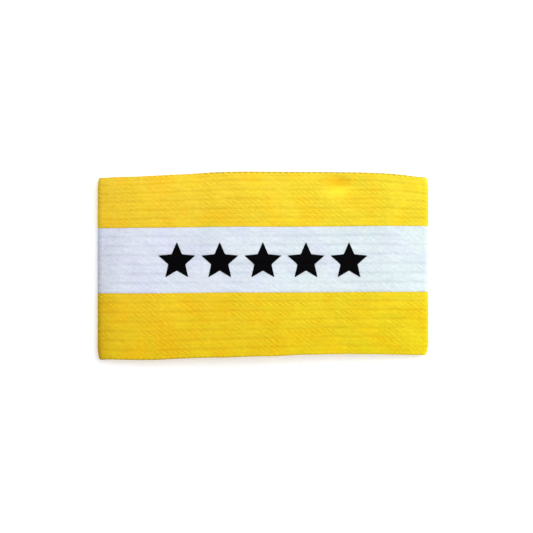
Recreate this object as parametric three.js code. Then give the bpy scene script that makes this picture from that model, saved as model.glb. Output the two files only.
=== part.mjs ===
// Captain armband: one loop of broad ribbed elastic that lies flat, its front face up.
// Millimetres. +X runs along the band, +Y across it to the upper rim, +Z up. The back layer lies on z = 0.
import * as THREE from "three";

// The loop as it lies
const lyingLength = 163.7;
const wall = 1.6;
const armGap = 7.5; // clear height between the front and back layers at the middle
const foldInnerRadius = 1.2;
const waveHeight = 0.4; // of the front layer's slow waves

// The three stripes, and the ribs that run round the loop in each
const upperStripeHeight = 27.2;
const middleStripeHeight = 32.1;
const lowerStripeHeight = 30.7;
const ribPitch = 4.3;
const ribDepth = 0.3;
const ribsPerInnerRow = 2; // the inside of the loop is modelled with a row of points every second rib

// The sewn lap at the middle of the back
const lapLength = 14;
const lapSlope = 5; // the run in which the covered end comes back down beside the cut end
const lapNotch = 0.85; // the notch beside the cut end, as a share of the wall

// The small pucker near the upper rim of the front
const puckerDepth = 0.8;
const puckerLength = 9;
const puckerHeight = 5;
const puckerFromRim = 5;
const puckerAt = 0.725; // share of the lying length from the left end

// The row of film stars on the white stripe
const starCount = 5;
const starHeight = 17.3;
const starGap = 2.9; // between the tips of neighbours
const starNotch = 0.46; // inner radius as a share of the outer one
const filmThickness = 0.3;
const filmClearance = 0.35;

// Points round the loop
const foldSteps = 6;
const frontSteps = 30;
const backSteps = 8; // on each side of the lap

// The outline seen from above. "at" is a share of the lying length from the left end, and the other columns
// say how far each line across the band lies above its middle place, as shares of the band's width.
const outline = [
  { at: 0.0, upperRim: -0.03, upperLine: -0.0066, lowerLine: -0.0055, lowerRim: -0.03 },
  { at: 0.15, upperRim: -0.022, upperLine: -0.0044, lowerLine: -0.0055, lowerRim: -0.03 },
  { at: 0.27, upperRim: -0.011, upperLine: -0.0027, lowerLine: -0.0027, lowerRim: -0.022 },
  { at: 0.4, upperRim: 0.0, upperLine: 0.0, lowerLine: 0.0, lowerRim: -0.0137 },
  { at: 0.55, upperRim: 0.0, upperLine: 0.0, lowerLine: 0.0, lowerRim: -0.0055 },
  { at: 0.7, upperRim: 0.0, upperLine: 0.002, lowerLine: 0.001, lowerRim: 0.0027 },
  { at: 0.85, upperRim: -0.0055, upperLine: 0.0055, lowerLine: 0.0027, lowerRim: 0.0 },
  { at: 1.0, upperRim: -0.028, upperLine: 0.0055, lowerLine: 0.0027, lowerRim: -0.0055 },
];

// How far the folded ends draw in at each corner, as shares of the lying length. Along the fold this fades out
// over cornerHeight, a share of the band's width, and along the rim over cornerLength, a share of the lying length.
const cornerDraws = {
  lower: { left: 0.006, right: 0.016 },
  upper: { left: 0.004, right: 0.006 },
};
const cornerHeight = 0.07;
const cornerLength = 0.12;

// The slow waves of the front layer. "at" is a share of the lying length, rise a share of the wave height.
const frontWaves = [
  { at: 0.0, rise: 0.0 },
  { at: 0.07, rise: 0.5 },
  { at: 0.27, rise: -0.9 },
  { at: 0.48, rise: 1.0 },
  { at: 0.67, rise: -1.0 },
  { at: 0.85, rise: 0.8 },
  { at: 1.0, rise: 0.0 },
];

const bandWidth = lowerStripeHeight + middleStripeHeight + upperStripeHeight;
const halfLength = lyingLength / 2;
const foldRadius = foldInnerRadius + wall / 2; // of the wall's middle
const foldX = halfLength - foldRadius - wall / 2; // the folds' centres are at x = +-foldX
const foldZ = wall / 2 + foldRadius;

// The front layer is an arch that runs into both folds with no kink. archRadius is that of the wall's middle.
const archTop = wall + armGap + wall / 2;
const archDrop = archTop - foldZ;
const archRadius = (foldX ** 2 + archDrop ** 2 - foldRadius ** 2) / (2 * (archDrop - foldRadius));
const archZ = archTop - archRadius;
const archAngle = Math.asin(foldX / (archRadius - foldRadius));

const starPoints = 5;
const starRadius = starHeight / (1 + Math.cos(Math.PI / starPoints));
const starWidth = 2 * starRadius * Math.cos(Math.PI / 10);
const starPitch = starWidth + starGap;

// A smooth curve through a table's rows, read at one place.
function readTable(rows, column, at) {
  const last = rows.length - 1;
  const t = THREE.MathUtils.clamp(at, rows[0].at, rows[last].at);
  const i = Math.min(rows.findLastIndex((row) => row.at <= t), last - 1);
  const slope = (k) => {
    const a = rows[Math.max(k - 1, 0)];
    const b = rows[Math.min(k + 1, last)];
    return (b[column] - a[column]) / (b.at - a.at);
  };
  const span = rows[i + 1].at - rows[i].at;
  const u = (t - rows[i].at) / span;
  const rise = u * u * (3 - 2 * u);
  return (
    THREE.MathUtils.lerp(rows[i][column], rows[i + 1][column], rise) +
    span * u * (1 - u) * ((1 - u) * slope(i) - u * slope(i + 1))
  );
}

// How far the front layer is lifted off its plain arch at a place on the band. y is measured from the lower rim.
function frontLift(x, y) {
  const wave = waveHeight * readTable(frontWaves, "rise", x / lyingLength + 0.5);
  const along = (x - (puckerAt - 0.5) * lyingLength) / (puckerLength / 2);
  const across = (y - (bandWidth - puckerFromRim)) / (puckerHeight / 2);
  const dent = -Math.exp(-(along ** 2) - across ** 2);
  const lip = 0.5 * Math.exp(-(along ** 2) - (across + 2) ** 2);
  return wave + puckerDepth * (dent + lip);
}

// One station of the loop's section: a point of the outside and one of the inside, each as x and z.
// ribs is 1 where the ribs have their full depth, and lifted says that the point is on the front layer.
function station(outer, inner, ribs = 1, lifted = false) {
  return { outer, inner, ribs, lifted };
}

function foldStations(side, fromAngle, toAngle) {
  const made = [];
  for (let i = 0; i <= foldSteps; i++) {
    const angle = THREE.MathUtils.lerp(fromAngle, toAngle, i / foldSteps);
    const at = (radius) => [side * foldX + radius * Math.cos(angle), foldZ + radius * Math.sin(angle)];
    made.push(station(at(foldRadius + wall / 2), at(foldInnerRadius)));
  }
  return made;
}

function frontStations() {
  const made = [];
  for (let i = 1; i < frontSteps; i++) {
    const angle = archAngle * (1 - (2 * i) / frontSteps);
    const at = (radius) => [radius * Math.sin(angle), archZ + radius * Math.cos(angle)];
    made.push(station(at(archRadius + wall / 2), at(archRadius - wall / 2), 1, true));
  }
  return made;
}

function backStations(fromX, toX) {
  const made = [];
  for (let i = 1; i < backSteps; i++) {
    const x = THREE.MathUtils.lerp(fromX, toX, i / backSteps);
    made.push(station([x, 0], [x, wall]));
  }
  return made;
}

// Two thicknesses of elastic: the inner end stops in a step, the outer one in a cut edge beside a notch.
function lapStations() {
  const start = -lapLength / 2;
  const end = lapLength / 2;
  return [
    station([start - wall, 0], [start, wall], 0),
    station([start + wall, 0], [start, 2 * wall], 0),
    station([end, 0], [end - wall, 2 * wall], 0),
    station([end, lapNotch * wall], [end, 2 * wall], 0),
    station([end + lapSlope, 0], [end + lapSlope, wall], 0),
  ];
}

// The loop's section, counter-clockwise with x to the right and z up.
const loop = [
  ...lapStations(),
  ...backStations(lapLength / 2 + lapSlope, foldX),
  ...foldStations(1, -Math.PI / 2, Math.PI / 2 - archAngle),
  ...frontStations(),
  ...foldStations(-1, Math.PI / 2 + archAngle, (3 * Math.PI) / 2),
  ...backStations(-foldX, -lapLength / 2 - wall),
];

// How far the band's end draws in at a place, given as shares of the lying length and of the band's width.
function cornerDraw(at, level) {
  const end = at < 0.5 ? "left" : "right";
  const fade = (distance, reach) => Math.max(0, 1 - distance / reach) ** 2;
  const draw =
    cornerDraws.lower[end] * fade(level, cornerHeight) + cornerDraws.upper[end] * fade(1 - level, cornerHeight);
  return lyingLength * draw * fade(0.5 - Math.abs(at - 0.5), cornerLength);
}

// Where a point of the section lies at one row across a stripe. share runs from the stripe's lower edge to its
// upper one.
function placeOnStripe([x, z], lifted, stripe, share) {
  const at = x / lyingLength + 0.5;
  const y = THREE.MathUtils.lerp(stripe.lowerEdge(at), stripe.upperEdge(at), share);
  const level = THREE.MathUtils.lerp(stripe.from, stripe.to, share);
  const drawn = x - Math.sign(x) * cornerDraw(at, level / bandWidth);
  return [drawn, y, z + (lifted ? frontLift(x, level) : 0)];
}

// A point of the outside, sunk towards the inside where a rib's valley runs.
function sink(stationOfLoop, depth) {
  const { outer, inner, ribs } = stationOfLoop;
  const towards = new THREE.Vector2(inner[0] - outer[0], inner[1] - outer[1]).setLength(ribs * depth);
  return [outer[0] + towards.x, outer[1] + towards.y];
}

function stripeGeometry(stripe) {
  const ribs = Math.round((stripe.to - stripe.from) / ribPitch);
  const outerRows = 2 * ribs; // a valley at each edge, a crest in the middle of each rib
  const innerRows = Math.round(ribs / ribsPerInnerRow);
  const positions = [];
  for (let row = 0; row <= outerRows; row++) {
    const depth = row % 2 === 0 ? ribDepth : 0;
    for (const one of loop) {
      positions.push(...placeOnStripe(sink(one, depth), one.lifted, stripe, row / outerRows));
    }
  }
  const innerStart = positions.length / 3;
  for (let row = 0; row <= innerRows; row++) {
    for (const one of loop) {
      positions.push(...placeOnStripe(one.inner, one.lifted, stripe, row / innerRows));
    }
  }

  const faces = [];
  const count = loop.length;
  const quad = (a, b, c, d) => faces.push(a, b, c, a, c, d);
  for (let i = 0; i < count; i++) {
    const next = (i + 1) % count;
    for (let row = 0; row < outerRows; row++) {
      const low = row * count;
      const high = low + count;
      quad(low + i, high + i, high + next, low + next);
    }
    for (let row = 0; row < innerRows; row++) {
      const low = innerStart + row * count;
      const high = low + count;
      quad(low + i, low + next, high + next, high + i);
    }
    const top = outerRows * count;
    const innerTop = innerStart + innerRows * count;
    quad(next, innerStart + next, innerStart + i, i);
    faces.push(top + next, innerTop + i, innerTop + next, top + next, top + i, innerTop + i);
  }
  const geometry = new THREE.BufferGeometry();
  geometry.setAttribute("position", new THREE.Float32BufferAttribute(positions, 3));
  geometry.setIndex(faces);
  geometry.computeVertexNormals();
  return geometry;
}

// The height of the front's rib crests at a place on the band.
function frontHeight(x, y) {
  return archZ + Math.sqrt((archRadius + wall / 2) ** 2 - x * x) + frontLift(x, y);
}

// A five-pointed star of film that follows the front. x and y are the middle of its height and width, y from the
// lower rim. Both of its faces are fans round the star's own centre.
function starGeometry(x, y) {
  const centreY = y + starHeight / 2 - starRadius;
  const points = [[x, centreY]];
  for (let i = 0; i < 2 * starPoints; i++) {
    const angle = Math.PI / 2 + (i * Math.PI) / starPoints;
    const radius = i % 2 === 0 ? starRadius : starNotch * starRadius;
    points.push([x + radius * Math.cos(angle), centreY + radius * Math.sin(angle)]);
  }
  const positions = [];
  for (const rise of [filmClearance, filmClearance + filmThickness]) {
    for (const [px, py] of points) positions.push(px, py, frontHeight(px, py) + rise);
  }
  const faces = [];
  const count = 2 * starPoints;
  const upper = points.length;
  for (let i = 1; i <= count; i++) {
    const next = (i % count) + 1;
    faces.push(0, next, i);
    faces.push(upper, upper + i, upper + next);
    faces.push(i, next, upper + next, i, upper + next, upper + i);
  }
  const geometry = new THREE.BufferGeometry();
  geometry.setAttribute("position", new THREE.Float32BufferAttribute(positions, 3));
  geometry.setIndex(faces);
  geometry.computeVertexNormals();
  return geometry;
}

// A line across the band, such as a rim, by its height over the lower rim and its column of the outline.
const line = (height, column) => (at) => height + bandWidth * readTable(outline, column, at);
const upperLineHeight = lowerStripeHeight + middleStripeHeight;
const lowerRim = line(0, "lowerRim");
const lowerLine = line(lowerStripeHeight, "lowerLine");
const upperLine = line(upperLineHeight, "upperLine");
const upperRim = line(bandWidth, "upperRim");

const yellowElastic = new THREE.MeshStandardMaterial({ color: 0xf0cf30, roughness: 0.9, metalness: 0 });
const whiteElastic = new THREE.MeshStandardMaterial({ color: 0xe4e9ee, roughness: 0.9, metalness: 0 });
const blackPrint = new THREE.MeshStandardMaterial({ color: 0x0e0c10, roughness: 0.6, metalness: 0 });

const stripes = [
  {
    name: "lower_stripe",
    from: 0,
    to: lowerStripeHeight,
    lowerEdge: lowerRim,
    upperEdge: lowerLine,
    material: yellowElastic,
  },
  {
    name: "middle_stripe",
    from: lowerStripeHeight,
    to: upperLineHeight,
    lowerEdge: lowerLine,
    upperEdge: upperLine,
    material: whiteElastic,
  },
  {
    name: "upper_stripe",
    from: upperLineHeight,
    to: bandWidth,
    lowerEdge: upperLine,
    upperEdge: upperRim,
    material: yellowElastic,
  },
];

const armband = new THREE.Group();

for (const stripe of stripes) {
  const mesh = new THREE.Mesh(stripeGeometry(stripe), stripe.material);
  mesh.name = stripe.name;
  armband.add(mesh);
}

for (let i = 0; i < starCount; i++) {
  const x = (i - (starCount - 1) / 2) * starPitch;
  const mesh = new THREE.Mesh(starGeometry(x, lowerStripeHeight + middleStripeHeight / 2), blackPrint);
  mesh.name = "print_star_" + (i + 1);
  armband.add(mesh);
}

// The origin goes to the middle of the base.
const box = new THREE.Box3().setFromObject(armband, true);
const middle = box.getCenter(new THREE.Vector3());
armband.position.set(-middle.x, -middle.y, -box.min.z);

export default armband;
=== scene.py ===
import math

import bpy
import numpy as np
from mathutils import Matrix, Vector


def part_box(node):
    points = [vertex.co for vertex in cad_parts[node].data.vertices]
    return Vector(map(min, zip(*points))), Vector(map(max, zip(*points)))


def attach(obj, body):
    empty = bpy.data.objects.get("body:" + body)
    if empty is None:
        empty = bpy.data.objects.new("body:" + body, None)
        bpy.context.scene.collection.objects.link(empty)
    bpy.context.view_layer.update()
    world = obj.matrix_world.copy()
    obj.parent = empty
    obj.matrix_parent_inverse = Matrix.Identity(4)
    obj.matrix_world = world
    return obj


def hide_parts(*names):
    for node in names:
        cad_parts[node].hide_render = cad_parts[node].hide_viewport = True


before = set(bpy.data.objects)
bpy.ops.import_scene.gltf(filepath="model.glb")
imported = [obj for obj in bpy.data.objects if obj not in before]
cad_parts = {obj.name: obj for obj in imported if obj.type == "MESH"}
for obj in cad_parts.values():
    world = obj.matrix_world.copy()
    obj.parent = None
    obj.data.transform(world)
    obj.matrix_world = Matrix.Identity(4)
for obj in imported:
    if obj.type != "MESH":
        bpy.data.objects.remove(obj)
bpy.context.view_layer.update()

MM = 0.001

# The loop as it lies, with the solids' own sizes
LYING_LENGTH = 163.7 * MM
WALL = 1.6 * MM
ARM_GAP = 7.5 * MM
FOLD_INNER_RADIUS = 1.2 * MM
WAVE_HEIGHT = 0.4 * MM
LAP_LENGTH = 14 * MM
LAP_SLOPE = 5 * MM
LAP_CLEARANCE = 0.04 * MM
SLOPE_START = 0.3 * MM  # how far past the covered end the upper layer starts to slope down

# The stripes, from the lower rim to the upper one, and the ribs in each
LOWER_HEIGHT = 30.7 * MM
MIDDLE_HEIGHT = 32.1 * MM
UPPER_HEIGHT = 27.2 * MM
BAND_WIDTH = LOWER_HEIGHT + MIDDLE_HEIGHT + UPPER_HEIGHT
LINE_LEVELS = (LOWER_HEIGHT, LOWER_HEIGHT + MIDDLE_HEIGHT)
RIB_PITCH = 4.3 * MM
RIB_DEPTH = 0.3 * MM

# The pucker near the upper rim of the front, a dent with a low lip below it
PUCKER_DEPTH = 0.8 * MM
LIP_SHARE = 0.5  # the lip's height as a share of the dent's depth
LIP_BELOW = 2  # how far below the dent the lip lies, in half heights of the pucker
PUCKER_LENGTH = 9 * MM
PINCHED_LENGTH = 14 * MM  # how far along the band the painted shade in the dent and the painted light on its lip reach
PUCKER_HEIGHT = 5 * MM
PUCKER_FROM_RIM = 5 * MM
PUCKER_AT = 0.725

# The film stars
STAR_COUNT = 5
STAR_HEIGHT = 17.3 * MM
STAR_GAP = 2.9 * MM
STAR_NOTCH = 0.46
STAR_POINTS = 5
STAR_RADIUS = STAR_HEIGHT / (1 + math.cos(math.pi / STAR_POINTS))
STAR_EDGE_STEPS = 15
STAR_RINGS = 26

# The outline seen from above: how far each rim and colour line lies above its even place, as shares of the
# band's width, at shares of the lying length from the left end
OUTLINE_AT = (0.0, 0.15, 0.27, 0.4, 0.55, 0.7, 0.85, 1.0)
UPPER_RIM = (-0.03, -0.022, -0.011, 0.0, 0.0, 0.0, -0.0055, -0.028)
UPPER_LINE = (-0.0066, -0.0044, -0.0027, 0.0, 0.0, 0.002, 0.0055, 0.0055)
LOWER_LINE = (-0.0055, -0.0055, -0.0027, 0.0, 0.0, 0.001, 0.0027, 0.0027)
LOWER_RIM = (-0.03, -0.03, -0.022, -0.0137, -0.0055, 0.0027, 0.0, -0.0055)

# How far the folded ends draw in at each corner, as shares of the lying length
DRAW_LOWER = (0.006, 0.008)
DRAW_UPPER = (0.004, 0.006)
CORNER_HEIGHT = 0.07
CORNER_LENGTH = 0.12

# The slow waves of the front layer, as shares of the wave height
WAVES_AT = (0.0, 0.07, 0.27, 0.48, 0.67, 0.85, 1.0)
WAVES = (0.0, 0.5, -0.9, 1.0, -1.0, 0.8, 0.0)
WAVE_SHARES = (0.7, 1.6)  # at the lower and the upper rim
WAVE_FADE = 8 * MM  # the length before each fold over which they fade out

# Painted shade along each rim, where the edge curls away from the light: how dark each rim's outermost
# yarns are painted, at shares of the lying length from the left end, and how far in the painted shade
# reaches between two strands and on one
RIMS_AT = (0.0, 0.28, 0.38, 0.6, 0.88, 1.0)
UPPER_RIM_SHOWN = (0.3, 0.35, 1.0, 1.0, 0.8, 0.4)
LOWER_RIM_SHOWN = (0.8, 0.7, 0.6, 0.4, 0.3, 0.3)
RIM_REACH = (0.9 * MM, 1.7 * MM)

# How much darker the cloth is painted near each fold, at the lower and at the upper rim: painted shade at
# the left fold, which turns away from the light, and, where negative, painted light at the right fold,
# which turns towards it
LEFT_FOLD_SHADE = (0.43, 0.12)
RIGHT_FOLD_SHADE = (-0.14, 0.0)
FOLD_SHADE_REACH = 4.5 * MM

# The weave, which is finer than the solids show
ROW_DEPTH = 0.05 * MM
STRAND_PITCH = 2.8 * MM
STRAND_DEPTH = 0.24 * MM
STRAND_LEAN = 1.6  # pitches that a strand runs along while it crosses its row
STRANDS_BELOW = 0.55  # how much of their depth the strands have in the lower row of a rib
STRANDS_AT_RIMS = (1.3, 0.85)  # how strongly they show at the lower and at the upper rim
ROW_SHIFT = 0.95  # pitches that each row is shifted along from the one below
UNEVENNESS = 0.1 * MM
LINE_TEETH = 0.08 * MM  # how far the yarns of one colour reach into the next
FINE_TEETH_PITCH = 0.37 * STRAND_PITCH
FINE_TEETH_SHARE = 0.5
TEETH_FADE = 0.8 * MM
RIM_RADIUS = 0.55 * MM
EDGE_ANGLES = (62, 36, 12, -12, -36, -62)  # degrees at which the round rim has its points
CUT_RADIUS = 0.5 * MM
CUT_STEPS = (0, 0.12, 0.32, 0.64, 1)
CUT_ROUNDNESS = 0.92
INNER_RELIEF = 0.7  # how much of its depth the relief has inside the loop and on the rims
FOLD_RELIEF = 0.5  # how much of their depth the ribs keep where the folds stretch them
FOLD_STRETCH = 4 * MM  # the length over which a fold comes to stretch them

# What each point of the cloth knows about its own place, for the finish
CLOTH_FIELDS = ("along", "level", "rib", "from_rim", "rim_shown", "fold_shade", "dent", "lip")

# How closely the cloth's points stand
ROWS_PER_RIB = 14
INNER_ROWS_PER_RIB = 4
FRONT_STEP = 0.36 * MM
FOLD_STEP = 0.4 * MM
BACK_STEP = 1.0 * MM
SLOPE_STEP = 0.3 * MM

# The film's face over the cloth, its underside, and how much of the cloth's relief its face takes
FILM_RISE = 0.14 * MM
FILM_GAP = 0.02 * MM
FILM_RELIEF = 0.5
FILM_EDGE_FROM = 0.994  # where its face begins to turn down, as a share of the outline
FILM_EDGE_RISE = 0.6 * FILM_RISE
FILM_EDGE_RELIEF = 0.75

# The two rows of stitches through the lap
SEAM_X = 4.3 * MM
SEAM_FROM_RIM = 2.5 * MM
SEAM_DIP = 0.35  # how far the sewing pulls the cloth in, as a share of its thickness
SEAM_REACH = 0.9 * MM
STITCH_PITCH = 3.1 * MM
STITCH_LENGTH = 2.9 * MM
THREAD_WIDTH = 0.34 * MM
STITCH_LOW = 0.25 * MM
STITCH_HIGH = 2.98 * MM

# How the wandering of the weave goes, and how little of it is left where it fades
RIB_DRIFT = 0.2  # of a rib
STRAND_DRIFT = 0.9  # of a strand
FADES_BETWEEN = (0.38, 0.6)
LEAST_RIB = 0.2
LEAST_ROW = 0.3
LEAST_STRANDS = 0.15
STRAND_STRENGTHS = (0.45, 1.45)
RIB_SHARPNESS = 2.0  # the power that narrows the grooves between ribs
ROW_SHARPNESS = 3.0
LONG_PATCHES = 0.6  # how close the patches of some kinds stand along the band, against across it
LONG_MOTTLE = 0.8
BUMPS_MIDDLE = 0.7  # high, so that hardly a bump would rise over the plain surface
QUICK_BUMPS_SHARE = 0.35

# The yarns' own fine make-up
PLIES_PER_STRAND = 3.0
FIBRES_PER_STRAND = 7.0
FIBRES_PER_ROW = 1.5
FIBRE_SHIFT = 7.3
FIBRE_LIGHT = (0.93, 1.07)
PLY_DEPTH = 0.15
FIBRE_HEIGHT = 0.4
# How strong the painted light on the pucker's lip is, as a share of the strength of the painted shade in
# its dent
LIP_LIGHT = 0.32
WARM_BETWEEN = (0.44, 0.66)
COOL_BETWEEN = (0.48, 0.7)
YARN_BUMP = (0.9, 0.14 * MM)
THREAD_TWIST = (900.0, 1500.0)  # turns in a metre along X and along Y

# The uneven patches of the cloth and the film: how many stand in a metre, their seed and their detail. The
# fibres' are counted along a strand instead.
PATCHES = {
    "rib drift": (80.0, 4.0, 1.0),
    "rib fade": (75.0, 7.0, 1.0),
    "strand drift": (230.0, 9.0, 1.0),
    "strand fade": (65.0, 15.0, 2.0),
    "slow bumps": (70.0, 21.0, 1.0),
    "quick bumps": (210.0, 27.0, 1.0),
    "fibres": (1.0, 4.0, 3.0),
    "warm": (70.0, 35.0, 2.0),
    "cool": (90.0, 41.0, 2.0),
    "mottle": (640.0, 45.0, 1.0),
    # The cloud's slow patches are painted light and shade, in place of the shading of gentle folds.
    "cloud": (26.0, 57.0, 1.0),
    "film grain": (2600.0, 2.0, 2.0),
}

# The flat map of a stripe: the strip's margin and share of each side, and where its two cut ends lie
MAP_MARGIN = 0.01
MAP_STRIP = (0.98, 0.94)
MAP_END_AT = (0.02, 0.98)
MAP_END_SIZE = (0.4, 0.007)
MAP_SECOND_END = 0.5

# The camera, the light and the sky
LENS_LENGTH = 85
SENSOR_WIDTH = 36
FRAME_WIDTH = 263.6 * MM
CAMERA_X = 1.75 * MM
CAMERA_Y = -0.25 * MM
SOFTBOX_SIZE = 0.9
SOFTBOX_PLACE = (0.54, 0.38, 0.86)
SOFTBOX_POWER = 8.7
SKY_STRENGTH = 0.565
FLOOR_GLOW = 0.3
FLOOR_REACH = 4

FOLD_RADIUS = FOLD_INNER_RADIUS + WALL / 2
FOLD_X = LYING_LENGTH / 2 - FOLD_RADIUS - WALL / 2
FOLD_Z = WALL / 2 + FOLD_RADIUS
ARCH_TOP = WALL + ARM_GAP + WALL / 2
ARCH_DROP = ARCH_TOP - FOLD_Z
ARCH_RADIUS = (FOLD_X**2 + ARCH_DROP**2 - FOLD_RADIUS**2) / (2 * (ARCH_DROP - FOLD_RADIUS))
ARCH_Z = ARCH_TOP - ARCH_RADIUS
ARCH_ANGLE = math.asin(FOLD_X / (ARCH_RADIUS - FOLD_RADIUS))


def read_curve(places, values, at):
    """A smooth curve through the values, read at each place in at."""
    places = np.asarray(places, float)
    values = np.asarray(values, float)
    slopes = np.empty_like(values)
    slopes[1:-1] = (values[2:] - values[:-2]) / (places[2:] - places[:-2])
    slopes[0] = (values[1] - values[0]) / (places[1] - places[0])
    slopes[-1] = (values[-1] - values[-2]) / (places[-1] - places[-2])
    at = np.clip(at, places[0], places[-1])
    i = np.clip(np.searchsorted(places, at, side="right") - 1, 0, len(places) - 2)
    span = places[i + 1] - places[i]
    u = (at - places[i]) / span
    rise = u * u * (3 - 2 * u)
    bend = span * u * (1 - u) * ((1 - u) * slopes[i] - u * slopes[i + 1])
    return values[i] + (values[i + 1] - values[i]) * rise + bend


def smooth_step(value):
    t = np.clip(value, 0, 1)
    return t * t * (3 - 2 * t)


def corner_draw(at, level):
    """How far a folded end draws in, at shares of the lying length and of the band's width."""

    def fade(distance, reach):
        return np.maximum(0, 1 - distance / reach) ** 2

    right = (at >= 0.5).astype(int)
    draw = np.take(DRAW_LOWER, right) * fade(level, CORNER_HEIGHT)
    draw = draw + np.take(DRAW_UPPER, right) * fade(1 - level, CORNER_HEIGHT)
    return LYING_LENGTH * draw * fade(0.5 - np.abs(at - 0.5), CORNER_LENGTH)


def pucker(x, level, length):
    """The pucker on the front: 1 where its dent is deepest, and 1 on top of the lip below it."""
    along = (x - (PUCKER_AT - 0.5) * LYING_LENGTH) / (length / 2)
    across = (level - (BAND_WIDTH - PUCKER_FROM_RIM)) / (PUCKER_HEIGHT / 2)
    return np.exp(-(along**2) - across**2), np.exp(-(along**2) - (across + LIP_BELOW) ** 2)


def rim_shown(at, level):
    """How dark the outermost yarns of the nearer rim are painted, a painted shade where the edge curls away
    from the light.
    """
    upper = read_curve(RIMS_AT, UPPER_RIM_SHOWN, at)
    lower = read_curve(RIMS_AT, LOWER_RIM_SHOWN, at)
    return np.where(level > BAND_WIDTH / 2, upper, lower)


def fold_shade(at, level):
    """How much darker the cloth is painted near each fold, fading along the band: painted shade at the left
    fold and painted light at the right one.
    """
    from_end = LYING_LENGTH * np.maximum(0, 0.5 - np.abs(at - 0.5))
    left = np.interp(level, (0, BAND_WIDTH), LEFT_FOLD_SHADE)
    right = np.interp(level, (0, BAND_WIDTH), RIGHT_FOLD_SHADE)
    return np.where(at < 0.5, left, right) * np.exp(-from_end / FOLD_SHADE_REACH)


def front_lift(x, level):
    """How far the front layer is lifted off its plain arch. level is the height over the lower rim."""
    wave = WAVE_HEIGHT * read_curve(WAVES_AT, WAVES, x / LYING_LENGTH + 0.5)
    wave = wave * np.interp(level, (0, BAND_WIDTH), WAVE_SHARES)
    fade = smooth_step((FOLD_X - np.abs(x)) / WAVE_FADE)
    dent, lip = pucker(x, level, PUCKER_LENGTH)
    return wave * fade + PUCKER_DEPTH * (LIP_SHARE * lip - dent)


STRIPES = {
    "lower_stripe": {
        "heights": (0.0, LINE_LEVELS[0]),
        "edges": (LOWER_RIM, LOWER_LINE),
        "slot": "yellow_elastic",
        "rim": "lower",
    },
    "middle_stripe": {
        "heights": LINE_LEVELS,
        "edges": (LOWER_LINE, UPPER_LINE),
        "slot": "white_elastic",
        "rim": None,
    },
    "upper_stripe": {
        "heights": (LINE_LEVELS[1], BAND_WIDTH),
        "edges": (UPPER_LINE, UPPER_RIM),
        "slot": "yellow_elastic",
        "rim": "upper",
    },
}

# The lower rim's lowest place is the CAD box's lower side.
lowest_rim = BAND_WIDTH * read_curve(OUTLINE_AT, LOWER_RIM, np.linspace(0, 1, 2001)).min()
BAND_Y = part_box("lower_stripe")[0].y - lowest_rim


def count_ribs():
    """Gives each stripe its number of ribs, and the number of those below it."""
    below = 0
    for stripe in STRIPES.values():
        low, high = stripe["heights"]
        stripe["ribs"] = round((high - low) / RIB_PITCH)
        stripe["first_rib"] = below
        below += stripe["ribs"]


count_ribs()


def edge_y(stripe, which, at):
    """Where a stripe's lower edge, 0, or upper edge, 1, runs at shares of the lying length."""
    level = stripe["heights"][which]
    return BAND_Y + level + BAND_WIDTH * read_curve(OUTLINE_AT, stripe["edges"][which], at)


def line_teeth(along, level):
    """The small waves of the two colour lines, where the yarns of one colour reach into the next."""
    turns = 2 * math.pi * along
    wave = np.sin(turns / STRAND_PITCH) + FINE_TEETH_SHARE * np.sin(turns / FINE_TEETH_PITCH)
    near = sum(np.exp(-(((level - line) / TEETH_FADE) ** 2)) for line in LINE_LEVELS)
    return LINE_TEETH * near * wave


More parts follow.
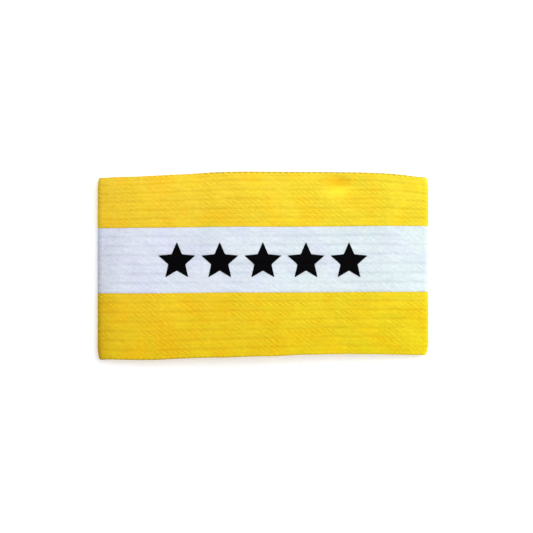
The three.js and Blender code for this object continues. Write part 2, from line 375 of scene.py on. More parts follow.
def loop_path():
    """The middle of the wall, from the end inside the lap round the right fold, the front and the left fold
    to the end under the lap. Each point has its outward direction, whether it is on the front, its place
    along the band from the middle of the front, and its shares of the thickness and of the relief."""
    parts = []

    def add(x, z, front=False):
        parts.append((np.asarray(x, float), np.asarray(z, float), np.full(len(x), front)))

    def from_to(start, end, length, step):
        return np.linspace(start, end, max(2, math.ceil(length / step)), endpoint=False)

    def add_level(start, end, length, z):
        x = from_to(start, end, length, BACK_STEP)
        add(x, np.full(len(x), z))

    def add_fold(centre, start, end):
        turn = from_to(start, end, math.pi * FOLD_RADIUS, FOLD_STEP)
        add(centre + FOLD_RADIUS * np.cos(turn), FOLD_Z + FOLD_RADIUS * np.sin(turn))

    cut = CUT_RADIUS * np.array(CUT_STEPS)
    half_lap = LAP_LENGTH / 2
    under = WALL / 2
    over = 1.5 * WALL + LAP_CLEARANCE
    slope_from = half_lap + SLOPE_START
    slope_to = half_lap + LAP_SLOPE
    add(-half_lap + cut, np.full(len(cut), over))
    add_level(-half_lap + BACK_STEP, slope_from, LAP_LENGTH, over)
    slope = from_to(slope_from, slope_to, LAP_SLOPE, SLOPE_STEP)
    add(slope, over + (under - over) * smooth_step((slope - slope_from) / (slope_to - slope_from)))
    add_level(slope_to, FOLD_X, FOLD_X - slope_to, under)
    add_fold(FOLD_X, -math.pi / 2, math.pi / 2 - ARCH_ANGLE)
    arch = from_to(ARCH_ANGLE, -ARCH_ANGLE, 2 * ARCH_ANGLE * ARCH_RADIUS, FRONT_STEP)
    add(ARCH_RADIUS * np.sin(arch), ARCH_Z + ARCH_RADIUS * np.cos(arch), True)
    add_fold(-FOLD_X, math.pi / 2 + ARCH_ANGLE, 3 * math.pi / 2)
    add_level(-FOLD_X, half_lap - CUT_RADIUS, FOLD_X + half_lap, under)
    add(half_lap - cut[::-1], np.full(len(cut), under))

    x, z, front = (np.concatenate(column) for column in zip(*parts))
    way = np.concatenate([[0], np.cumsum(np.hypot(np.diff(x), np.diff(z)))])
    dx = np.gradient(x, way)
    dz = np.gradient(z, way)
    length = np.hypot(dx, dz)
    middle = np.interp(0, -x[front], way[front])
    from_end = np.minimum(way, way[-1] - way)
    cut_depth = np.clip(1 - from_end / CUT_RADIUS, 0, 1)
    seam = np.exp(-(((np.abs(x) - SEAM_X) / SEAM_REACH) ** 2)) * (z < ARCH_TOP / 2)
    folded = smooth_step((np.abs(x) - FOLD_X + FOLD_STRETCH / 2) / FOLD_STRETCH)
    return {
        "x": x,
        "z": z,
        "out_x": dz / length,
        "out_z": -dx / length,
        "front": front,
        "along": middle - way,
        "thickness": np.sqrt(1 - (CUT_ROUNDNESS * cut_depth) ** 2) * (1 - SEAM_DIP * seam),
        "relief": 1 - (1 - FOLD_RELIEF) * folded,
        "length": way[-1],
    }


PATH = loop_path()


def levels_across(stripe, rows_per_rib):
    """Heights over the lower rim of the rows across a stripe, with a row in each valley between two ribs.
    At a rim the outermost rib gives up the width of the round edge."""
    low, high = stripe["heights"]
    levels = np.linspace(low, high, stripe["ribs"] * rows_per_rib + 1)
    pitch = (high - low) / stripe["ribs"]
    kept = 1 - RIM_RADIUS / pitch
    if stripe["rim"] == "lower":
        return np.where(levels < low + pitch, low + pitch - (low + pitch - levels) * kept, levels)
    if stripe["rim"] == "upper":
        return np.where(levels > high - pitch, high - pitch + (levels - high + pitch) * kept, levels)
    return levels


def ring_across(stripe):
    """The points round a stripe's cross-section: up the outside, round the upper edge, down the inside and
    round the lower edge. Each is a level, a place in the wall from 1 outside to -1 inside, how far its
    outward direction leans across the band, and its share of the relief."""
    low, high = stripe["heights"]
    outside = [(level, 1.0, 0.0, 1.0) for level in levels_across(stripe, ROWS_PER_RIB)]
    inner_levels = levels_across(stripe, INNER_ROWS_PER_RIB)[::-1]
    inside = [(level, -1.0, 0.0, INNER_RELIEF) for level in inner_levels]

    def round_edge(edge, sign, angles):
        return [
            (edge - sign * RIM_RADIUS * (1 - math.cos(a)), math.sin(a), sign * math.cos(a), INNER_RELIEF)
            for a in np.radians(angles)
        ]

    upper = round_edge(high, 1, EDGE_ANGLES) if stripe["rim"] == "upper" else []
    lower = round_edge(low, -1, EDGE_ANGLES[::-1]) if stripe["rim"] == "lower" else []
    return np.array(outside + upper + inside + lower)


def place_object(name, data):
    """A new object in the scene, at the origin."""
    placed = bpy.data.objects.new(name, data)
    bpy.context.scene.collection.objects.link(placed)
    return placed


def mesh_piece(name, points, faces, fields):
    """A new object of these points and faces. fields holds a value or a vector for each point, by name."""
    mesh = bpy.data.meshes.new(name)
    mesh.from_pydata(points.tolist(), [], faces)
    mesh.update()
    for field, values in fields.items():
        vector = values.ndim == 2
        made = mesh.attributes.new(field, "FLOAT_VECTOR" if vector else "FLOAT", "POINT")
        made.data.foreach_set("vector" if vector else "value", values.astype(np.float32).ravel())
    mesh.polygons.foreach_set("use_smooth", np.ones(len(mesh.polygons), bool))
    return place_object(name, mesh)


def lay_out(mesh, ring):
    """Adds a flat map of a strip, its two cut ends laid beside it, for textures made of its finish."""
    per_ring = len(ring)
    across = np.stack([ring[:, 0], ring[:, 1] * WALL / 2], -1)
    sides = np.hypot(*(np.roll(across, -1, axis=0) - across).T)
    around = np.concatenate([[0], np.cumsum(sides)]) / sides.sum()
    way = (PATH["along"][0] - PATH["along"]) / PATH["length"]
    left = np.repeat(way[:-1, None], per_ring, axis=1)
    right = np.repeat(way[1:, None], per_ring, axis=1)
    low = np.broadcast_to(around[:-1], left.shape)
    high = np.broadcast_to(around[1:], left.shape)
    corners = [(left, low), (right, low), (right, high), (left, high)]
    strip = np.stack([np.stack(corner, -1) for corner in corners], 2).reshape(-1, 2)
    levels = (ring[:, 0] - ring[:, 0].min()) / np.ptp(ring[:, 0])
    end = np.array(MAP_END_AT) + np.stack([levels, ring[:, 1]], -1) * MAP_END_SIZE
    spots = np.concatenate([MAP_MARGIN + strip * MAP_STRIP, end, end[::-1] + (MAP_SECOND_END, 0)])
    mesh.uv_layers.new(name="OFBake").data.foreach_set("uv", spots.astype(np.float32).ravel())


def rib_number(stripe, level):
    """Ribs counted from the lower rim, whole in each valley."""
    low, high = stripe["heights"]
    return stripe["first_rib"] + (level - low) / (high - low) * stripe["ribs"]


def stripe_cloth(name, stripe):
    """One stripe of the band as a closed strip of cloth that laps over its own end."""
    ring = ring_across(stripe)
    low, high = stripe["heights"]
    stations = len(PATH["x"])
    per_ring = len(ring)
    level = np.broadcast_to(ring[:, 0], (stations, per_ring))
    half = WALL / 2 * PATH["thickness"][:, None] * ring[None, :, 1]
    x = PATH["x"][:, None] + PATH["out_x"][:, None] * half
    z = PATH["z"][:, None] + PATH["out_z"][:, None] * half
    along = np.broadcast_to(PATH["along"][:, None], x.shape)
    at = x / LYING_LENGTH + 0.5
    share = (level - low) / (high - low)
    y = edge_y(stripe, 0, at) * (1 - share) + edge_y(stripe, 1, at) * share + line_teeth(along, level)
    z = z + np.where(PATH["front"][:, None], front_lift(x, level), 0)
    x = x - np.sign(x) * corner_draw(at, level / BAND_WIDTH)

    lean = ring[None, :, 2]
    in_wall = np.where(lean == 0, ring[None, :, 1], np.sign(ring[None, :, 1]) * np.sqrt(1 - lean**2))
    out_x = PATH["out_x"][:, None] * in_wall
    out_z = PATH["out_z"][:, None] * in_wall
    outward = np.stack([out_x, np.broadcast_to(lean, x.shape), out_z], -1)
    # Masks for the painted shade in the pucker's dent and the painted light on its lip, on the front only.
    dent, lip = pucker(x, level, PINCHED_LENGTH) * PATH["front"][None, :, None]
    fields = {
        "along": along.ravel(),
        "rib": rib_number(stripe, level).ravel(),
        "level": level.ravel(),
        "from_rim": np.minimum(level, BAND_WIDTH - level).ravel(),
        "rim_shown": rim_shown(at, level).ravel(),
        "fold_shade": fold_shade(at, level).ravel(),
        "dent": dent.ravel(),
        "lip": lip.ravel(),
        "outward": outward.reshape(-1, 3),
        "relief": (PATH["relief"][:, None] * ring[None, :, 3]).ravel(),
    }
    station, place = np.meshgrid(np.arange(stations - 1), np.arange(per_ring), indexing="ij")
    following = (place + 1) % per_ring
    here = station * per_ring
    there = here + per_ring
    quads = np.stack([here + place, there + place, there + following, here + following], -1).reshape(-1, 4)
    first_end = list(range(per_ring))
    last_end = [(stations - 1) * per_ring + i for i in range(per_ring)][::-1]
    points = np.stack([x, y, z], -1).reshape(-1, 3)
    piece = mesh_piece(name, points, quads.tolist() + [first_end, last_end], fields)
    lay_out(piece.data, ring)
    return piece


def star_outline():
    """The edge of a star round its own centre, with its corners just rounded."""
    corners = []
    for i in range(2 * STAR_POINTS):
        angle = math.pi / 2 + i * math.pi / STAR_POINTS
        reach = STAR_RADIUS if i % 2 == 0 else STAR_NOTCH * STAR_RADIUS
        corners.append((reach * math.cos(angle), reach * math.sin(angle)))
    corners = np.array(corners)
    steps = np.linspace(0, 1, STAR_EDGE_STEPS, endpoint=False)[None, :, None]
    edge = (corners[:, None] * (1 - steps) + np.roll(corners, -1, axis=0)[:, None] * steps).reshape(-1, 2)
    return (np.roll(edge, 1, axis=0) + 2 * edge + np.roll(edge, -1, axis=0)) / 4


def star_film(name, x_centre):
    """A star of thin film on the front of the white stripe. Its face bridges the finest grooves below."""
    stripe = STRIPES["middle_stripe"]
    low, high = stripe["heights"]
    y_centre = BAND_Y + (low + high) / 2 + STAR_HEIGHT / 2 - STAR_RADIUS
    outline = star_outline()
    count = len(outline)
    # Each ring is a share of the outline, a height over the cloth and a share of the relief.
    top = [(i / STAR_RINGS, FILM_RISE, FILM_RELIEF) for i in range(1, STAR_RINGS)]
    edge = [
        (FILM_EDGE_FROM, FILM_RISE, FILM_RELIEF),
        (1.0, FILM_EDGE_RISE, FILM_EDGE_RELIEF),
        (1.0, FILM_GAP, 1.0),
    ]
    under = [(i / STAR_RINGS, FILM_GAP, 1.0) for i in range(STAR_RINGS - 2, 0, -2)]
    rows = [(0.0, FILM_RISE, FILM_RELIEF)] + top + edge + under + [(0.0, FILM_GAP, 1.0)]
    flat = []
    for share, rise, relief in rows:
        around = outline * share if share else np.zeros((1, 2))
        flat += [(px, py, rise, relief) for px, py in around]
    flat = np.array(flat)
    x = x_centre + flat[:, 0]
    y = y_centre + flat[:, 1]
    at = x / LYING_LENGTH + 0.5
    lower = edge_y(stripe, 0, at)
    upper = edge_y(stripe, 1, at)
    level = low + (high - low) * (y - lower) / (upper - lower)
    turn = np.arcsin(x / (ARCH_RADIUS + WALL / 2))
    outward = np.stack([np.sin(turn), np.zeros(len(x)), np.cos(turn)], -1)
    height = ARCH_Z + (ARCH_RADIUS + WALL / 2) * np.cos(turn) + front_lift(x, level)
    points = np.stack([x, y, height], -1) + outward * flat[:, 2:3]
    fields = {
        "along": ARCH_RADIUS * turn,
        "rib": rib_number(stripe, level),
        "level": level,
        "outward": outward,
        "relief": flat[:, 3],
    }
    faces = []
    ring_rows = len(rows) - 2
    for i in range(count):
        following = (i + 1) % count
        faces.append((0, 1 + i, 1 + following))
        for row in range(ring_rows - 1):
            here = 1 + row * count
            there = here + count
            faces.append((here + i, there + i, there + following, here + following))
        last = 1 + (ring_rows - 1) * count
        faces.append((last + i, len(flat) - 1, last + following))
    return mesh_piece(name, points, faces, fields)


def feed(tree, socket, value):
    """Sets a socket, or links it where the value is another node's output."""
    if isinstance(value, bpy.types.NodeSocket):
        tree.links.new(value, socket)
    else:
        socket.default_value = value


def add_node(tree, kind, values=None, **settings):
    """A new node with its settings and its inputs, given by name or by number."""
    node = tree.nodes.new(kind)
    for setting, value in settings.items():
        setattr(node, setting, value)
    for key, value in (values or {}).items():
        feed(tree, node.inputs[key], value)
    return node


def maths(tree, operation, *values):
    """The result of one Math node."""
    return add_node(tree, "ShaderNodeMath", dict(enumerate(values)), operation=operation).outputs[0]


def vector_maths(tree, operation, *values):
    """The vector that comes out of one Vector Math node."""
    node = add_node(tree, "ShaderNodeVectorMath", dict(enumerate(values)), operation=operation)
    return node.outputs[0]


def joined(tree, x, y, z=0.0):
    return add_node(tree, "ShaderNodeCombineXYZ", {"X": x, "Y": y, "Z": z}).outputs[0]


def noise(tree, place, patches):
    """Smooth noise from 0 to 1, mostly near the middle."""
    per_metre, seed, detail = PATCHES[patches]
    values = {"Vector": place, "W": seed, "Scale": per_metre, "Detail": detail}
    return add_node(tree, "ShaderNodeTexNoise", values, noise_dimensions="4D").outputs[0]


def wander(tree, place, patches):
    """The same noise round 0 instead."""
    return maths(tree, "SUBTRACT", noise(tree, place, patches), 0.5)


def between(tree, share, low, high):
    """A share from 0 to 1 carried evenly to the range from low to high."""
    return maths(tree, "MULTIPLY_ADD", share, high - low, low)


def ramp(tree, value, low, high, to_low=0.0, to_high=1.0):
    """The value carried from one range to another, with soft ends."""
    values = {"Value": value, "From Min": low, "From Max": high, "To Min": to_low, "To Max": to_high}
    return add_node(tree, "ShaderNodeMapRange", values, interpolation_type="SMOOTHSTEP").outputs[0]


def groove(tree, turns):
    """1 in the groove at every whole number and 0 halfway between, with a round bottom."""
    wave = maths(tree, "COSINE", maths(tree, "MULTIPLY", turns, 2 * math.pi))
    return maths(tree, "MULTIPLY_ADD", wave, 0.5, 0.5)


def chance(tree, x, y):
    """An even value from 0 to 1 of its own for each pair of whole numbers."""
    values = {"Vector": joined(tree, x, y)}
    return add_node(tree, "ShaderNodeTexWhiteNoise", values, noise_dimensions="2D").outputs[0]


def weave(tree, along, level, rib):
    """The pattern of the elastic at a place on it. Each rib holds two rows of short slanted strands, which
    show most in its upper row. Ribs, rows and strands wander a little and fade in and out. The answers run
    from 0 to 1: how deep the place is between ribs, rows and strands, and how high it is on a strand."""
    spot = joined(tree, along, level)
    long_spot = joined(tree, maths(tree, "MULTIPLY", along, LONG_PATCHES), level)
    rib = maths(tree, "MULTIPLY_ADD", wander(tree, spot, "rib drift"), RIB_DRIFT, rib)
    rib_shown = ramp(tree, noise(tree, long_spot, "rib fade"), *FADES_BETWEEN, LEAST_RIB, 1.0)
    rib_groove = maths(tree, "POWER", groove(tree, rib), RIB_SHARPNESS)

    rows = maths(tree, "MULTIPLY", rib, 2.0)
    row = maths(tree, "FLOOR", rows)
    place = maths(tree, "SUBTRACT", rows, row)
    number = maths(tree, "MULTIPLY_ADD", place, STRAND_LEAN, maths(tree, "DIVIDE", along, STRAND_PITCH))
    number = maths(tree, "MULTIPLY_ADD", row, ROW_SHIFT, number)
    number = maths(tree, "MULTIPLY_ADD", wander(tree, spot, "strand drift"), STRAND_DRIFT, number)
    own_tone = chance(tree, maths(tree, "FLOOR", number), row)
    between_rows = groove(tree, rows)
    between_strands = groove(tree, number)

    patch = ramp(tree, noise(tree, spot, "strand fade"), *FADES_BETWEEN, LEAST_STRANDS, 1.0)
    upper_row = maths(tree, "MODULO", maths(tree, "ABSOLUTE", row), 2.0)
    shown = maths(tree, "MULTIPLY", between(tree, upper_row, STRANDS_BELOW, 1.0), patch)
    at_lower, at_upper = STRANDS_AT_RIMS
    at_level = maths(tree, "MULTIPLY_ADD", level, (at_upper - at_lower) / BAND_WIDTH, at_lower)
    shown = maths(tree, "MULTIPLY", shown, at_level)
    shown = maths(tree, "MULTIPLY", shown, between(tree, own_tone, *STRAND_STRENGTHS))
    shown = maths(tree, "MULTIPLY", maths(tree, "SUBTRACT", 1.0, between_rows), shown)
    row_groove = maths(tree, "POWER", between_rows, ROW_SHARPNESS)
    return {
        "rib groove": maths(tree, "MULTIPLY", rib_groove, rib_shown),
        "row groove": maths(tree, "MULTIPLY", row_groove, between(tree, patch, LEAST_ROW, 1.0)),
        "strand groove": maths(tree, "MULTIPLY", between_strands, shown),
        "strand crest": maths(tree, "MULTIPLY", maths(tree, "SUBTRACT", 1.0, between_strands), shown),
        "strand number": number,
        "own tone": own_tone,
        "row": row,
        "place in row": place,
    }


def new_tree(name, kind, inputs, outputs):
    """A node tree with named sockets, given as (name, type, default)."""
    tree = bpy.data.node_groups.new(name, kind)
    for in_out, sockets in (("INPUT", inputs), ("OUTPUT", outputs)):
        for label, sort, default in sockets:
            socket = tree.interface.new_socket(name=label, in_out=in_out, socket_type="NodeSocket" + sort)
            if default is not None:
                socket.default_value = default
    given = tree.nodes.new("NodeGroupInput").outputs
    result = tree.nodes.new("NodeGroupOutput").inputs
    return tree, given, result


def finish_all(tree, real, given, result):
    """The last step of a tree of geometry: its pieces get their finish."""
    values = {"Geometry": real.outputs[0], "Material": given["Finish"]}
    feed(tree, result["Geometry"], add_node(tree, "GeometryNodeSetMaterial", values).outputs[0])


def woven_relief():
    """Sinks a smooth piece of cloth or film along its outward field to show ribs, rows and strands."""
    tree, given, result = new_tree(
        "woven relief",
        "GeometryNodeTree",
        [
            ("Geometry", "Geometry", None),
            ("Rib Depth", "Float", RIB_DEPTH),
            ("Row Depth", "Float", ROW_DEPTH),
            ("Strand Depth", "Float", STRAND_DEPTH),
            ("Unevenness", "Float", UNEVENNESS),
            ("Finish", "Material", None),
        ],
        [("Geometry", "Geometry", None)],
    )

    def field(name, sort="FLOAT"):
        node = add_node(tree, "GeometryNodeInputNamedAttribute", {"Name": name}, data_type=sort)
        return node.outputs["Attribute"]

    along = field("along")
    level = field("level")
    pattern = weave(tree, along, level, field("rib"))
    spot = joined(tree, maths(tree, "MULTIPLY", along, LONG_PATCHES), level)
    slow = maths(tree, "SUBTRACT", noise(tree, spot, "slow bumps"), BUMPS_MIDDLE)
    quick = maths(tree, "SUBTRACT", noise(tree, spot, "quick bumps"), BUMPS_MIDDLE)
    bumps = maths(tree, "MULTIPLY_ADD", quick, QUICK_BUMPS_SHARE, slow)
    sunk = maths(tree, "MULTIPLY", pattern["rib groove"], given["Rib Depth"])
    sunk = maths(tree, "MULTIPLY_ADD", pattern["row groove"], given["Row Depth"], sunk)
    strand = maths(tree, "SUBTRACT", pattern["strand groove"], pattern["strand crest"])
    strand = maths(tree, "MULTIPLY_ADD", strand, 0.5, 0.5)
    sunk = maths(tree, "MULTIPLY_ADD", strand, given["Strand Depth"], sunk)
    raised = maths(tree, "MULTIPLY_ADD", bumps, given["Unevenness"], maths(tree, "MULTIPLY", sunk, -1.0))
    raised = maths(tree, "MINIMUM", raised, 0.0)
    moved = add_node(tree, "ShaderNodeVectorMath", {0: field("outward", "FLOAT_VECTOR")}, operation="SCALE")
    feed(tree, moved.inputs["Scale"], maths(tree, "MULTIPLY", raised, field("relief")))
    placed = add_node(
        tree, "GeometryNodeSetPosition", {"Geometry": given["Geometry"], "Offset": moved.outputs[0]}
    )
    real = add_node(tree, "GeometryNodeRealizeInstances", {"Geometry": placed.outputs[0]})
    finish_all(tree, real, given, result)
    return tree


def stitch_row():
    """Lays one stitch after another along a curve, each a slim bead of thread whose ends dip into the
    cloth."""
    tree, given, result = new_tree(
        "stitch row",
        "GeometryNodeTree",
        [
            ("Geometry", "Geometry", None),
            ("Stitch Pitch", "Float", STITCH_PITCH),
            ("Stitch Length", "Float", STITCH_LENGTH),
            ("Thread Width", "Float", THREAD_WIDTH),
            ("Unevenness", "Float", 0.1),
            ("Seed", "Int", 3),
            ("Finish", "Material", None),
        ],
        [("Geometry", "Geometry", None)],
    )
    line = add_node(tree, "GeometryNodeMeshToCurve", {"Mesh": given["Geometry"]})
    row = add_node(
        tree,
        "GeometryNodeResampleCurve",
        {"Curve": line.outputs[0], "Length": given["Stitch Pitch"]},
        mode="LENGTH",
    )
    bead = add_node(tree, "GeometryNodeMeshUVSphere", {"Segments": 8, "Rings": 7, "Radius": 0.5})
    turned = add_node(
        tree,
        "FunctionNodeAlignRotationToVector",
        {"Vector": add_node(tree, "GeometryNodeInputTangent").outputs[0]},
        axis="Z",
    )
    most = given["Unevenness"]
    least = maths(tree, "MULTIPLY", most, -1.0)
    wobble = add_node(
        tree,
        "FunctionNodeRandomValue",
        {"Min": joined(tree, least, least), "Max": joined(tree, most, most), "Seed": given["Seed"]},
        data_type="FLOAT_VECTOR",
    )
    wobbled = add_node(
        tree, "FunctionNodeRotateRotation", {"Rotation": turned.outputs[0], "Rotate By": wobble.outputs[0]}
    )
    beads = add_node(
        tree,
        "GeometryNodeInstanceOnPoints",
        {
            "Points": row.outputs[0],
            "Instance": bead.outputs["Mesh"],
            "Rotation": wobbled.outputs[0],
            "Scale": joined(tree, given["Thread Width"], given["Thread Width"], given["Stitch Length"]),
        },
    )
    round_beads = add_node(tree, "GeometryNodeSetShadeSmooth", {"Geometry": beads.outputs[0]})
    real = add_node(tree, "GeometryNodeRealizeInstances", {"Geometry": round_beads.outputs[0]})
    finish_all(tree, real, given, result)
    return tree


def plain(label):
    """A socket's name as Python writes it."""
    return label.lower().replace(" ", "_")


def grow(piece, tree, **values):
    """Runs a Geometry Nodes tree on a piece with these inputs and keeps the plain mesh that it makes."""
    modifier = piece.modifiers.new("grow", "NODES")
    modifier.node_group = tree
    for item in tree.interface.items_tree:
        if item.item_type == "SOCKET" and item.in_out == "INPUT" and plain(item.name) in values:
            modifier[item.identifier] = values[plain(item.name)]
    depsgraph = bpy.context.evaluated_depsgraph_get()
    grown = bpy.data.meshes.new_from_object(
        piece.evaluated_get(depsgraph), preserve_all_data_layers=True, depsgraph=depsgraph
    )
    piece.modifiers.clear()
    piece.data = grown


def mixed(tree, factor, first, second, blend="MIX"):
    """One colour over or into another."""
    node = add_node(tree, "ShaderNodeMix", data_type="RGBA", blend_type=blend)
    for socket, value in ((node.inputs[0], factor), (node.inputs[6], first), (node.inputs[7], second)):
        feed(tree, socket, value)
    return node.outputs[2]


def attribute(tree, name):
    return add_node(tree, "ShaderNodeAttribute", attribute_name=name).outputs["Fac"]


def woven_yarn():
    """The colour, the grooves and the fine plies of the elastic's yarns, for both of its colours. Painted
    shade darkens the grooves, the left fold, the rims and the pucker's dent; painted light brightens the
    strand crests, the pucker's lip, the right fold and the cloth towards the upper rim; slow patches of
    both stand in for the shading of gentle folds.
    """
    tree, given, result = new_tree(
        "woven yarn",
        "ShaderNodeTree",
        [
            ("Along", "Float", 0.0),
            ("Level", "Float", 0.0),
            ("Rib", "Float", 0.0),
            ("From Rim", "Float", 1.0),
            ("Rim Shown", "Float", 0.0),
            ("Fold Shade", "Float", 0.0),
            ("Dent", "Float", 0.0),
            ("Lip", "Float", 0.0),
            ("Yarn", "Color", (1, 1, 1, 1)),
            ("Pale Yarn", "Color", (1, 1, 1, 1)),
            ("Deep Yarn", "Color", (0.5, 0.5, 0.5, 1)),
            ("Rim Yarn", "Color", (0.5, 0.5, 0.5, 1)),
            ("Pinched Yarn", "Color", (0.5, 0.5, 0.5, 1)),
            ("Warm Tint", "Color", (1, 1, 1, 1)),
            ("Cool Tint", "Color", (1, 1, 1, 1)),
            ("Left Tint", "Color", (1, 1, 1, 1)),
            ("Right Tint", "Color", (1, 1, 1, 1)),
            ("Strand Tone", "Float", 0.53),
            ("Row Tone", "Float", 0.16),
            ("Rib Tone", "Float", 0.1),
            ("Crest Tone", "Float", 0.07),
            ("Strand Variety", "Float", 0.08),
            ("Mottle", "Float", 0.24),
            ("Cloud", "Float", 0.12),
            ("Rim Tone", "Float", 0.85),
            ("Pucker Tone", "Float", 0.7),
        ],
        [("Color", "Color", None), ("Height", "Float", None)],
    )
    along = given["Along"]
    level = given["Level"]
    pattern = weave(tree, along, level, given["Rib"])
    number = pattern["strand number"]
    ply = groove(tree, maths(tree, "MULTIPLY", number, PLIES_PER_STRAND))
    across_fibres = maths(tree, "MULTIPLY", number, FIBRES_PER_STRAND)
    along_fibres = maths(tree, "MULTIPLY", pattern["place in row"], FIBRES_PER_ROW)
    fibre_row = maths(tree, "MULTIPLY", pattern["row"], FIBRE_SHIFT)
    fibre = noise(tree, joined(tree, across_fibres, along_fibres, fibre_row), "fibres")
    fine = maths(tree, "MULTIPLY_ADD", ply, -PLY_DEPTH, maths(tree, "MULTIPLY", fibre, FIBRE_HEIGHT))
    height = maths(tree, "SUBTRACT", pattern["strand crest"], pattern["strand groove"])
    height = maths(tree, "MULTIPLY_ADD", height, 0.5, fine)

    # Painted shade in the grooves between strands, rows and ribs: the yarn's colour goes over to a darker,
    # deeper one there.
    deep = maths(tree, "MULTIPLY", pattern["strand groove"], given["Strand Tone"])
    deep = maths(tree, "MULTIPLY_ADD", pattern["row groove"], given["Row Tone"], deep)
    deep = maths(tree, "MULTIPLY_ADD", pattern["rib groove"], given["Rib Tone"], deep)
    # Painted light and painted reflection: the yarn's colour goes over to a lighter, bluer one towards the
    # upper rim, the side the light comes from.
    up_the_band = maths(tree, "DIVIDE", level, BAND_WIDTH)
    colour = mixed(tree, up_the_band, given["Yarn"], given["Pale Yarn"])
    colour = mixed(tree, deep, colour, given["Deep Yarn"])
    # Painted shade and painted reflection in the pucker's dent: the cloth there goes over to a deeper
    # orange, as light bounced about in a crease makes it.
    pinch = maths(tree, "MULTIPLY", given["Dent"], given["Pucker Tone"])
    colour = mixed(tree, pinch, colour, given["Pinched Yarn"])
    spot = joined(tree, along, level)
    warm = ramp(tree, noise(tree, spot, "warm"), *WARM_BETWEEN)
    colour = mixed(tree, warm, colour, given["Warm Tint"], "MULTIPLY")
    cool = ramp(tree, noise(tree, spot, "cool"), *COOL_BETWEEN)
    colour = mixed(tree, cool, colour, given["Cool Tint"], "MULTIPLY")
    turns = maths(tree, "MULTIPLY", along, 2 * math.pi / (PATH["length"] - LAP_LENGTH))
    to_right = maths(tree, "MULTIPLY_ADD", maths(tree, "SINE", turns), 0.5, 0.5)
    side_tint = mixed(tree, to_right, given["Left Tint"], given["Right Tint"])
    colour = mixed(tree, 1.0, colour, side_tint, "MULTIPLY")

    light = between(tree, fibre, *FIBRE_LIGHT)
    # Painted shade at the left fold and painted light at the right fold.
    light = maths(tree, "SUBTRACT", light, given["Fold Shade"])
    # Slow patches of painted light and shade, in place of the shading of the cloth's gentle folds.
    light = maths(tree, "MULTIPLY_ADD", wander(tree, spot, "cloud"), given["Cloud"], light)
    mottle_place = joined(tree, maths(tree, "MULTIPLY", along, LONG_MOTTLE), level)
    light = maths(tree, "MULTIPLY_ADD", wander(tree, mottle_place, "mottle"), given["Mottle"], light)
    own = maths(tree, "SUBTRACT", pattern["own tone"], 0.5)
    light = maths(tree, "MULTIPLY_ADD", own, given["Strand Variety"], light)
    # A painted highlight on the strand crests.
    light = maths(tree, "MULTIPLY_ADD", pattern["strand crest"], given["Crest Tone"], light)
    # Painted light on the pucker's lip.
    lip_light = maths(tree, "MULTIPLY", given["Pucker Tone"], LIP_LIGHT)
    light = maths(tree, "MULTIPLY_ADD", given["Lip"], lip_light, light)
    colour = vector_maths(tree, "MULTIPLY", colour, joined(tree, light, light, light))

    # Painted shade along the rims, dashed with the strands, where the edge curls away from the light.
    teeth = groove(tree, maths(tree, "DIVIDE", along, STRAND_PITCH))
    rim = ramp(tree, given["From Rim"], 0.0, between(tree, teeth, *RIM_REACH), 1.0, 0.0)
    rim = maths(tree, "MULTIPLY", rim, maths(tree, "MULTIPLY", given["Rim Shown"], given["Rim Tone"]))
    feed(tree, result["Color"], mixed(tree, rim, colour, given["Rim Yarn"]))
    feed(tree, result["Height"], height)
    return tree


def new_finish(name, roughness, specular, sheen=0.0):
    """A material and its Principled shader, with the numbers that are the same all over it."""
    finish = bpy.data.materials.new(name)
    finish.use_nodes = True
    shader = finish.node_tree.nodes["Principled BSDF"]
    shader.inputs["Roughness"].default_value = roughness
    shader.inputs["Specular IOR Level"].default_value = specular
    shader.inputs["Sheen Weight"].default_value = sheen
    return finish, shader


def bump(tree, shader, height, strength, distance):
    node = add_node(tree, "ShaderNodeBump", {"Strength": strength, "Distance": distance, "Height": height})
    tree.links.new(node.outputs[0], shader.inputs["Normal"])


def elastic_finish(name, yarn_tree, **values):
    """Ribbed elastic of one colour."""
    finish, shader = new_finish(name, roughness=0.9, specular=0.08)
    tree = finish.node_tree
    group = add_node(tree, "ShaderNodeGroup", node_tree=yarn_tree)
    for socket in group.inputs:
        key = plain(socket.name)
        if key in CLOTH_FIELDS:
            feed(tree, socket, attribute(tree, key))
        elif key in values:
            socket.default_value = values[key]
    tree.links.new(group.outputs["Color"], shader.inputs["Base Color"])
    bump(tree, shader, group.outputs["Height"], *YARN_BUMP)
    return finish


def film_finish():
    """Thin black film, its gloss a little uneven."""
    finish, shader = new_finish("black_film", roughness=0.55, specular=0.02)
    tree = finish.node_tree
    place = joined(tree, attribute(tree, "along"), attribute(tree, "level"))
    grain = noise(tree, place, "film grain")
    colour = mixed(tree, grain, (0.001, 0.0009, 0.0012, 1), (0.0022, 0.002, 0.0026, 1))
    tree.links.new(colour, shader.inputs["Base Color"])
    feed(tree, shader.inputs["Roughness"], ramp(tree, grain, 0.3, 0.7, 0.45, 0.6))
    bump(tree, shader, grain, 0.25, 0.03 * MM)
    return finish


def thread_finish():
    """White sewing thread, twisted from fine plies, with painted shade in the grooves between them."""
    finish, shader = new_finish("sewing_thread", roughness=0.7, specular=0.3, sheen=0.1)
    tree = finish.node_tree
    where = add_node(tree, "ShaderNodeTexCoord").outputs["Object"]
    parts = add_node(tree, "ShaderNodeSeparateXYZ", {"Vector": where})
    along_x, along_y = THREAD_TWIST
    turns = maths(tree, "MULTIPLY", parts.outputs["Y"], along_y)
    twist = groove(tree, maths(tree, "MULTIPLY_ADD", parts.outputs["X"], along_x, turns))
    # Painted shade in the grooves between the plies.
    colour = mixed(tree, twist, (0.80, 0.82, 0.84, 1), (0.5, 0.52, 0.55, 1))
    tree.links.new(colour, shader.inputs["Base Color"])
    bump(tree, shader, twist, -0.6, 0.08 * MM)
    return finish


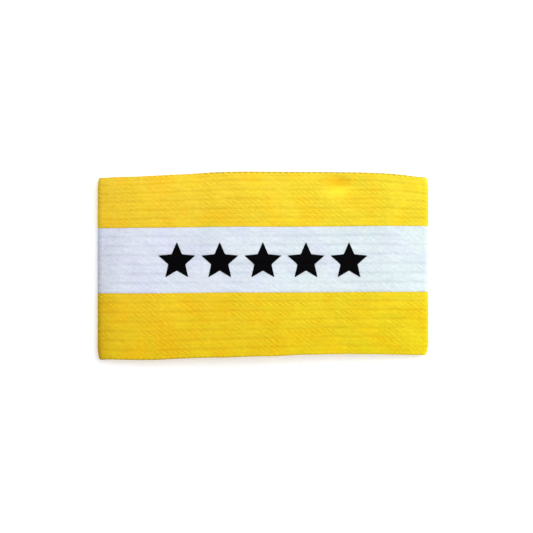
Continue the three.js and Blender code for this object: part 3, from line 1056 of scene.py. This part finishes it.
WHITE_YARN = (0.74, 0.80, 0.85, 1)
RELIEF = woven_relief()
STITCHES = stitch_row()
YARN = woven_yarn()
FINISHES = {
    "yellow_elastic": elastic_finish(
        "yellow_elastic",
        YARN,
        yarn=(0.82, 0.605, 0.012, 1),
        # Painted light: the lighter, bluer colour towards the upper rim. Painted shade: the darker colours
        # in the grooves, along the rims and in the pucker's dent.
        pale_yarn=(0.93, 0.70, 0.042, 1),
        deep_yarn=(0.62, 0.36, 0.006, 1),
        rim_yarn=(0.30, 0.22, 0.015, 1),
        pinched_yarn=(0.86, 0.46, 0.004, 1),
        warm_tint=(1.03, 0.94, 0.75, 1),
        cool_tint=(0.98, 1.005, 0.85, 1),
        left_tint=(1.08, 0.99, 1.1, 1),
        right_tint=(1.0, 1.07, 1.0, 1),
        rib_tone=0.16,
        row_tone=0.35,
    ),
    "white_elastic": elastic_finish(
        "white_elastic",
        YARN,
        yarn=WHITE_YARN,
        # No painted light towards the upper rim and no painted rim shade on the white; painted shade in its
        # grooves and a painted highlight on its strand crests.
        pale_yarn=WHITE_YARN,
        deep_yarn=(0.50, 0.56, 0.66, 1),
        rim_tone=0.0,
        warm_tint=(0.99, 0.96, 1.02, 1),
        cool_tint=(0.96, 1.0, 0.99, 1),
        left_tint=(1.06, 1.02, 1.07, 1),
        right_tint=(1.01, 1.04, 0.98, 1),
        strand_tone=0.36,
        crest_tone=0.03,
        rib_tone=0.25,
        row_tone=0.2,
    ),
    "black_film": film_finish(),
}

# The stripes are cut as strips a little longer than the loop, for the lap.
for name, stripe in STRIPES.items():
    cloth = stripe_cloth(name + "_cloth", stripe)
    grow(cloth, RELIEF, finish=FINISHES[stripe["slot"]])
    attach(cloth, "root")
    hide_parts(name)

# The upper side points of two neighbouring stars stand a gap apart.
star_pitch = 2 * STAR_RADIUS * math.cos(math.pi / (2 * STAR_POINTS)) + STAR_GAP
for i in range(STAR_COUNT):
    name = "print_star_" + str(i + 1)
    film = star_film(name + "_film", (i - (STAR_COUNT - 1) / 2) * star_pitch)
    grow(film, RELIEF, finish=FINISHES["black_film"])
    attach(film, "root")
    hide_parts(name)


def seam_lines():
    """The lines of the two rows of stitches through the lap, each on the underside and inside the loop."""
    points = []
    edges = []
    for x in (-SEAM_X, SEAM_X):
        at = np.array([x / LYING_LENGTH + 0.5])
        low = edge_y(STRIPES["lower_stripe"], 0, at)[0] + SEAM_FROM_RIM
        high = edge_y(STRIPES["upper_stripe"], 1, at)[0] - SEAM_FROM_RIM
        for z in (STITCH_LOW, STITCH_HIGH):
            edges.append((len(points), len(points) + 1))
            points += [(x, low, z), (x, high, z)]
    mesh = bpy.data.meshes.new("seam_stitches")
    mesh.from_pydata(points, edges, [])
    return place_object("seam_stitches", mesh)


seam = seam_lines()
grow(seam, STITCHES, finish=thread_finish())
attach(seam, "root")


def studio():
    """A plain pale floor, a soft light from the upper right, and a pale sky for the shadows."""
    corners = [(-1, -1), (1, -1), (1, 1), (-1, 1)]
    mesh = bpy.data.meshes.new("floor")
    mesh.from_pydata([(FLOOR_REACH * x, FLOOR_REACH * y, 0) for x, y in corners], [], [(0, 1, 2, 3)])
    floor = place_object("floor", mesh)
    paper, shader = new_finish("pale_paper", roughness=0.9, specular=0.1)
    shader.inputs["Base Color"].default_value = (0.95, 0.95, 0.95, 1)
    shader.inputs["Emission Color"].default_value = (1, 1, 1, 1)
    shader.inputs["Emission Strength"].default_value = FLOOR_GLOW
    mesh.materials.append(paper)

    world = bpy.data.worlds.new("studio")
    world.use_nodes = True
    sky = world.node_tree.nodes["Background"]
    sky.inputs["Color"].default_value = (0.95, 0.97, 1.0, 1)
    sky.inputs["Strength"].default_value = SKY_STRENGTH
    bpy.context.scene.world = world

    lamp = bpy.data.lights.new("softbox", "AREA")
    lamp.shape = "SQUARE"
    lamp.size = SOFTBOX_SIZE
    lamp.energy = SOFTBOX_POWER
    softbox = place_object("softbox", lamp)
    softbox.location = SOFTBOX_PLACE
    softbox.rotation_mode = "QUATERNION"
    softbox.rotation_quaternion = (-softbox.location).to_track_quat("-Z", "Y")
    softbox.visible_camera = False


def photo_camera():
    """Straight above the band, as the photograph was taken."""
    lens = bpy.data.cameras.new("camera")
    lens.lens = LENS_LENGTH
    lens.sensor_width = SENSOR_WIDTH
    camera = place_object("camera", lens)
    camera.location = (CAMERA_X, CAMERA_Y, FOLD_Z + FRAME_WIDTH * LENS_LENGTH / SENSOR_WIDTH)
    bpy.context.scene.camera = camera


studio()
photo_camera()
bpy.context.scene.view_settings.view_transform = "Standard"
